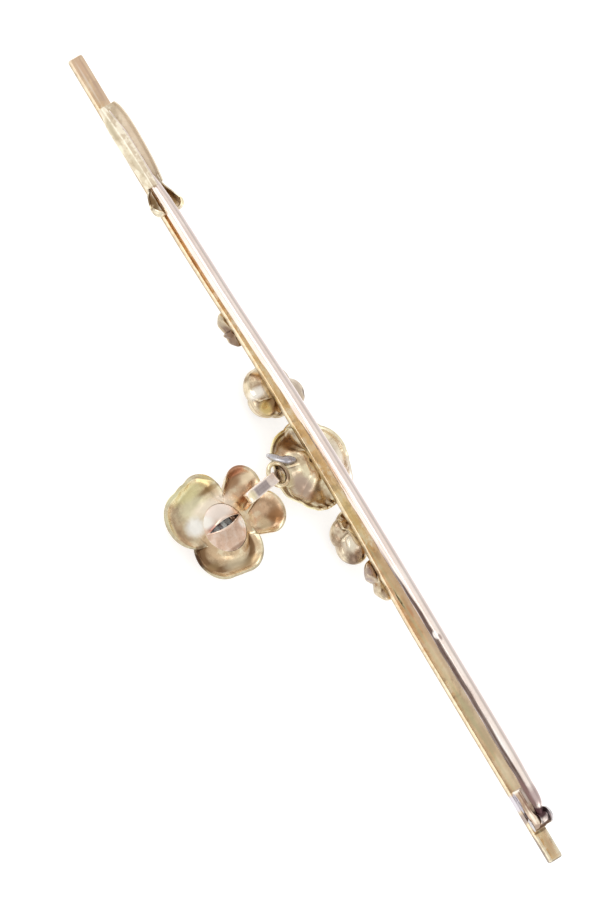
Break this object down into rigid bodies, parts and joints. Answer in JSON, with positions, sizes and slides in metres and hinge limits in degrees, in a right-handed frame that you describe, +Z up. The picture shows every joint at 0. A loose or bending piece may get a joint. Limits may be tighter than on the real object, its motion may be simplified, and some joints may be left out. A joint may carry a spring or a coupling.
{
  "type": "bar brooch",
  "caption": "Narrow gold bar brooch with rosebuds and an open flower along the bar, a hanging flower with a stone, and a hinged pin stem that lies in a leaf-shaped catch.",
  "frame": {"origin": "bottom centre of the bounding box, in the plane of the surface that the brooch lies on", "axes": "+X along the bar towards the hinge, +Y across the bar away from the drop, +Z up, out of the brooch's back, which is the side with the pin stem"},
  "size_m": [0.08, 0.0205, 0.0059],
  "materials": {
    "bar_gold": "worn satin yellow gold",
    "green_gold": "worn pale greenish gold",
    "copper_gold": "darkened rose gold",
    "rose_gold": "polished rose gold",
    "flower_gold": "polished pale yellow gold with brown tarnish in the hollows",
    "drop_gold": "polished tan gold",
    "stone": "faceted pale stone"
  },
  "bodies": {
    "brooch": {"bar": "bar_gold", "catch_sheath": "green_gold", "hinge_plate": "green_gold", "hinge_rivet": "copper_gold", "centre_flower": "flower_gold", "left_rosebud": "flower_gold", "right_rosebud": "flower_gold", "left_leaf_bud": "flower_gold", "right_leaf_bud": "flower_gold", "drop_ring": "green_gold", "bail": "rose_gold", "drop_flower": "drop_gold", "drop_collet": "rose_gold", "drop_stone": "stone"},
    "pin": {"pin_stem": "rose_gold"}
  },
  "joints": [
    {"name": "pin_lift", "type": "hinge", "parent": "brooch", "child": "pin", "pos_m": [0.0362, 0.00611, 0.0043], "axis": [0, 1, 0], "range_deg": [0, 75]}
  ]
}
